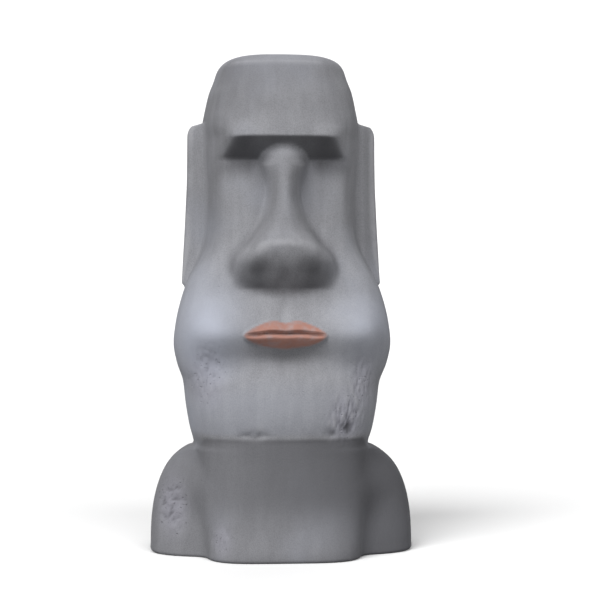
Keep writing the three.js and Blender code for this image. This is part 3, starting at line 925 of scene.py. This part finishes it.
class StoneFinish(bpy.types.PropertyGroup):
    """Colours of the cast stone, and of the shade and highlight painted on it."""

    stone: bpy.props.FloatVectorProperty(
        name="Stone", description="The stone's own grey", subtype="COLOR", default=(0.266, 0.268, 0.285)
    )
    # Tone of the painted shade on the body, flanks and nose, also used for faint darker streaks
    deep: bpy.props.FloatVectorProperty(
        name="Shade and streak tone", description="Painted shade on the body and flanks, and streaks", subtype="COLOR",
        default=(0.085, 0.085, 0.093),
    )
    # Colour of the painted shade under overhangs, and of dark sand specks and the darker pores and sunk
    # places
    shade_specks_and_pits: bpy.props.FloatVectorProperty(
        name="Shade, specks and pits", description="Dark wash in hollows and pores", subtype="COLOR",
        default=(0.04, 0.04, 0.045),
    )
    worn: bpy.props.FloatVectorProperty(
        name="Worn edges", description="Rubbed edges and pale sand", subtype="COLOR",
        default=(0.4, 0.4, 0.42),
    )
    rough: bpy.props.FloatVectorProperty(
        name="Rough places", description="Paler stone where the casting is porous", subtype="COLOR",
        default=(0.31, 0.302, 0.36),
    )
    # Bluish tint with a painted highlight on the cheeks and chin, also the colour of faint bluish patches
    tint_and_highlight: bpy.props.FloatVectorProperty(
        name="Tint and highlight", description="Faint bluish bloom on the cheeks", subtype="COLOR",
        default=(0.37, 0.39, 0.455),
    )
    lips: bpy.props.FloatVectorProperty(
        name="Lip tint", description="Worn salmon colour on the lips", subtype="COLOR",
        default=(0.33, 0.165, 0.13),
    )


class StageSettings(bpy.types.PropertyGroup):
    """The floor and backdrop, the light and the camera."""

    tone: bpy.props.FloatProperty(
        name="Stage tone", description="How pale the floor and backdrop are", subtype="FACTOR",
        default=0.88, min=0, max=1,
    )
    glow: bpy.props.FloatProperty(
        name="Stage glow", description="Share of its light that the stage throws back", subtype="FACTOR",
        default=0.45, min=0, max=1,
    )
    sky: bpy.props.FloatProperty(
        name="Sky", description="Strength of the even light from all round", default=0.1
    )
    key: bpy.props.FloatProperty(
        name="Key light", description="Strength of the soft light from the upper left front", default=3.0
    )
    fill: bpy.props.FloatProperty(
        name="Fill light", description="Strength of the soft light from the upper right front", default=1.35
    )
    back: bpy.props.FloatProperty(
        name="Back light", description="Strength of the soft light from behind", default=1.2
    )
    camera_distance: bpy.props.FloatProperty(
        name="Camera distance", description="From the camera to the statue's axis", default=0.9, unit="LENGTH"
    )
    camera_side: bpy.props.FloatProperty(
        name="Camera side", description="How far the camera stands to one side", subtype="ANGLE",
        default=math.radians(-3),
    )


# The camera's height in metres and its sensor's width in millimetres
CAMERA_HEIGHT = 0.1535
SENSOR_WIDTH = 36.0
# The picture: its width in pixels, the pixels to a metre at the statue, and how many the aim lies beside the
# axis and below the camera
PICTURE_WIDTH = 612.0
PIXELS_PER_METRE = 1627.0
AIM_BESIDE, AIM_DOWN = 25, 9


# Operators


class MOAI_OT_statue(bpy.types.Operator):
    """Carve the statue's fine surface and dress it in cast stone"""

    bl_idname = "moai.statue"
    bl_label = "Statue"

    def execute(self, context):
        sizes, finish = context.scene.moai_sizes, context.scene.moai_finish
        carving = Carving(sizes.height, sizes.width, sizes.depth)
        points, lips = carving.grid(sizes.rings_per_height, sizes.foot_rounding)
        raised = ramp(0.5 * MM, 4 * MM, points[..., 2])
        sunk, rough = wear(points, sizes.pit_depth)
        wander = 0.7 * lumps(points, SLOW_CELL * MM, 2) + 0.3 * lumps(points, QUICK_CELL * MM, 3)
        inwards = (sizes.unevenness * wander + sunk) * raised
        points = points - normals_of(points) * inwards[..., None]

        normal = normals_of(points)
        across, share = points[..., 0] / sizes.width, points[..., 2] / sizes.height
        front = ramp(0, -0.1 * sizes.depth, points[..., 1])
        edge = ramp(0.4 * MM, 1.4 * MM, standing_out(points, normal, 3))
        mesh = closed_mesh("moai_stone", points, {
            "lips": lips,
            "rough": rough,
            "sunk": 0.85 * ramp(0.7 * MM, 2.1 * MM, sunk),
            # Painted shade under the overhangs and round the nose; above the lower chest only on front-facing
            # parts.
            "painted_shade": self.painted_shade(np.abs(across), share, normal) * mix(1, front, ramp(0.1, 0.3, share)) * raised,
            # Painted shade on the body, the flanks and beside the nose, and a darker crown, less in rough
            # places.
            "deep": self.deep(across, share, normal) * (1 - 0.45 * rough),
            "edge": edge * raised * ramp(0.22, 0.25, share),
            # Bluish tint with a painted highlight on the cheeks and chin, on front-facing parts.
            "tint_and_highlight": self.tint_and_highlight(across, share) * front,
        })
        mesh.materials.append(build_cast_stone(finish))
        statue = bpy.data.objects.new("moai_stone", mesh)
        context.scene.collection.objects.link(statue)
        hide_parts("moai_statue")
        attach(statue, "root")
        return {"FINISHED"}

    @staticmethod
    def painted_shade(out, share, normal):
        """Painted shade: under overhangs, just below the brow, round the nostrils and beside the wings."""
        steep = ramp(0.45, 0.8, -normal[..., 2])
        overhang = mix(0.62, 0.78, ramp(0.08, 0.16, out)) * steep * ramp(0.6, 0.7, share)
        brow = 0.4 * bell(share - 0.77, 0.02) * band(out, 0.1, 0.14, 0.22, 0.27)
        under_nose = band(share, 0.522, 0.532, 0.56, 0.606) * ramp(0.21, 0.15, out)
        nostril = (0.34 + 0.35 * bell(out - NOSTRIL_OUT, 0.045)) * under_nose
        wing = 0.32 * bell(out - 0.98 * NOSE_HALF(share), 0.02) * band(share, 0.54, 0.57, 0.62, 0.68)
        return np.maximum.reduce([overhang, brow, nostril, wing])

    @staticmethod
    def tint_and_highlight(across, share):
        """A bluish tint with a painted highlight: a bell on each cheek and a band on the chin.

        They are stronger on the statue's right.
        """
        right = ramp(0.2, -0.2, across)
        upwards = bell(share - MOUTH, mix(0.085, 0.1, right))
        cheeks = mix(0.55, 1, right) * bell(np.abs(across) - 0.3, 0.13) * upwards
        chin = mix(0.25, 0.36, right) * band(share, CHIN_EDGE, 0.25, 0.3, 0.38)
        return np.maximum(cheeks, chin)

    @staticmethod
    def deep(across, share, normal):
        """Painted shade on the chest, arms and flanks, and a weaker one round the nose; and a darker crown.

        On the body it grows to the statue's left and fades on the foot, the back and at the chin's edge.
        """
        out, facing = np.abs(across), -normal[..., 1]
        front, left = ramp(0, 0.6, facing), ramp(-0.05, 0.05, across)
        body = mix(mix(0.6, 0.95, ramp(0.1, 0.4, across)), 1.08, ramp(0.035, 0.13, share))
        body = body * mix(0.55, 0.92, ramp(-0.4, 0.4, across)) * mix(0.75, 1, front)
        body = body * ramp(CHIN_EDGE + 0.003, CHIN_EDGE - mix(0.05, 0.006, front), share)
        flank = mix(0.24, 0, ramp(-0.2, 0.2, across)) * ramp(0.3, 0.8, np.abs(normal[..., 0]))
        flank = np.maximum(flank, 0.25 * ramp(0.31, 0.325, across) * ramp(0.88, 0.86, share))
        flank = flank * ramp(0.48, 0.62, share) * ramp(0.17, 0.2, out)
        beside = mix(0.14, 0.28, left) * bell(out - mix(0.09, 0.1, left), mix(0.055, 0.075, left))
        beside = beside * band(share, 0.63, 0.7, 0.77, 0.8)
        nose = mix(0.13, 0.2, bell(share - 0.66, 0.035)) * band(share, 0.6, 0.615, 0.78, 0.8)
        wing = 0.2 * ramp(0.07, 0.13, across) * band(share, 0.54, 0.56, 0.6, 0.64)
        nose = np.maximum(nose, wing) * ramp(1.1, 0.8, out / NOSE_HALF(share))
        crown = mix(0.4, 0.22, ramp(-0.22, 0, across)) * ramp(0.84, 0.9, share) * ramp(0.1, 0.5, facing)
        crown = crown * mix(1, 1.3, ramp(0.9, 0.95, share)) * mix(1, 0.3, ramp(0.17, 0.21, across))
        return np.maximum.reduce([body, flank, beside, nose, crown])


class MOAI_OT_stage(bpy.types.Operator):
    """Lay a plain pale floor with a backdrop, set soft studio light and place the camera"""

    bl_idname = "moai.stage"
    bl_label = "Stage"

    def execute(self, context):
        stage = context.scene.moai_stage
        mesh = self.sweep("studio_floor", width=10, near=-4, far=2, bend=1.5, top=4)
        mesh.materials.append(build_stage_paint(stage.tone, stage.glow))
        floor = bpy.data.objects.new("studio_floor", mesh)
        context.scene.collection.objects.link(floor)
        self.sky(context, stage.sky)
        self.sun("key_light", side=-38, height=46, spread=36, strength=stage.key)
        self.sun("fill_light", side=28, height=46, spread=36, strength=stage.fill)
        self.sun("back_light", side=170, height=45, spread=60, strength=stage.back)
        self.camera(context, stage)
        context.scene.view_settings.view_transform = "Standard"
        return {"FINISHED"}

    @staticmethod
    def sweep(name, width, near, far, bend, top):
        """A floor that runs back, turns up through a quarter circle and goes on as a wall, in metres."""
        turn = np.linspace(0, np.pi / 2, 33)
        y = np.concatenate([[near], far + bend * np.sin(turn), [far + bend]])
        z = np.concatenate([[0], bend * (1 - np.cos(turn)), [top]])
        edge = np.stack([np.full(y.shape, -width / 2), y, z], -1)
        vertices = np.concatenate([edge, edge * [-1, 1, 1]])
        count = len(edge)
        i = np.arange(count - 1)
        faces = np.stack([i, i + count, i + count + 1, i + 1], -1)
        mesh = bpy.data.meshes.new(name)
        mesh.from_pydata(vertices.tolist(), [], faces.tolist())
        mesh.polygons.foreach_set("use_smooth", [True] * len(mesh.polygons))
        return mesh

    @staticmethod
    def sky(context, strength):
        """Even white light from all round, which the camera itself sees as a pale backdrop."""
        world = bpy.data.worlds.new("studio_sky")
        world.use_nodes = True
        tree = world.node_tree
        light = tree.nodes["Background"]
        light.inputs["Color"].default_value = (1, 1, 1, 1)
        seen = add_node(tree, "ShaderNodeLightPath", (-3, 0)).outputs["Is Camera Ray"]
        wire(tree, remap(tree, (-1, 0), seen, 0.0, 1.0, strength, 1.0), light.inputs["Strength"])
        context.scene.world = world

    @staticmethod
    def sun(name, side, height, spread, strength):
        """A soft sun from a side and a height in degrees: side 0 is the front, and 90 the statue's left."""
        light = bpy.data.lights.new(name, "SUN")
        light.energy, light.angle = strength, math.radians(spread)
        side, height = math.radians(side), math.radians(height)
        level = math.cos(height)
        way = Vector((math.sin(side) * level, -math.cos(side) * level, math.sin(height)))
        holder = bpy.data.objects.new(name, light)
        holder.location = way
        holder.rotation_euler = (-way).to_track_quat("-Z", "Y").to_euler()
        bpy.context.scene.collection.objects.link(holder)

    @staticmethod
    def camera(context, stage):
        """A long lens a little to one side, aimed so that the statue sits left of the picture's middle."""
        lens = bpy.data.cameras.new("camera")
        lens.sensor_width = SENSOR_WIDTH
        lens.lens = lens.sensor_width * PIXELS_PER_METRE * stage.camera_distance / PICTURE_WIDTH
        lens.clip_start, lens.clip_end = 0.05, 50
        side = stage.camera_side
        place = Vector((math.sin(side), -math.cos(side), 0)) * stage.camera_distance
        place.z = CAMERA_HEIGHT
        aim = Vector((math.cos(side), math.sin(side), 0)) * (AIM_BESIDE / PIXELS_PER_METRE)
        aim.z = CAMERA_HEIGHT - AIM_DOWN / PIXELS_PER_METRE
        camera = bpy.data.objects.new("camera", lens)
        camera.location = place
        camera.rotation_euler = (aim - place).to_track_quat("-Z", "Y").to_euler()
        context.scene.collection.objects.link(camera)
        context.scene.camera = camera


class MOAI_PT_panel(bpy.types.Panel):
    """Lists the pieces and what may be changed in them"""

    bl_label = "Moai statue"
    bl_space_type = "VIEW_3D"
    bl_region_type = "UI"
    bl_category = "Moai"

    def draw(self, context):
        for settings, operator in (
            ("moai_sizes", None), ("moai_finish", "moai.statue"), ("moai_stage", "moai.stage"),
        ):
            group = getattr(context.scene, settings)
            box = self.layout.box()
            for key in group.__annotations__:
                box.prop(group, key)
            if operator:
                box.operator(operator)


GROUPS = {"moai_sizes": StatueSizes, "moai_finish": StoneFinish, "moai_stage": StageSettings}
CLASSES = (StatueSizes, StoneFinish, StageSettings, MOAI_OT_statue, MOAI_OT_stage, MOAI_PT_panel)


def register():
    for item in CLASSES:
        bpy.utils.register_class(item)
    for key, group in GROUPS.items():
        setattr(bpy.types.Scene, key, bpy.props.PointerProperty(type=group))


def unregister():
    for key in GROUPS:
        delattr(bpy.types.Scene, key)
    for item in reversed(CLASSES):
        bpy.utils.unregister_class(item)


def main():
    register()
    build_grain_group()
    build_pore_group()
    bpy.ops.moai.statue()
    bpy.ops.moai.stage()


if __name__ == "__main__":
    main()
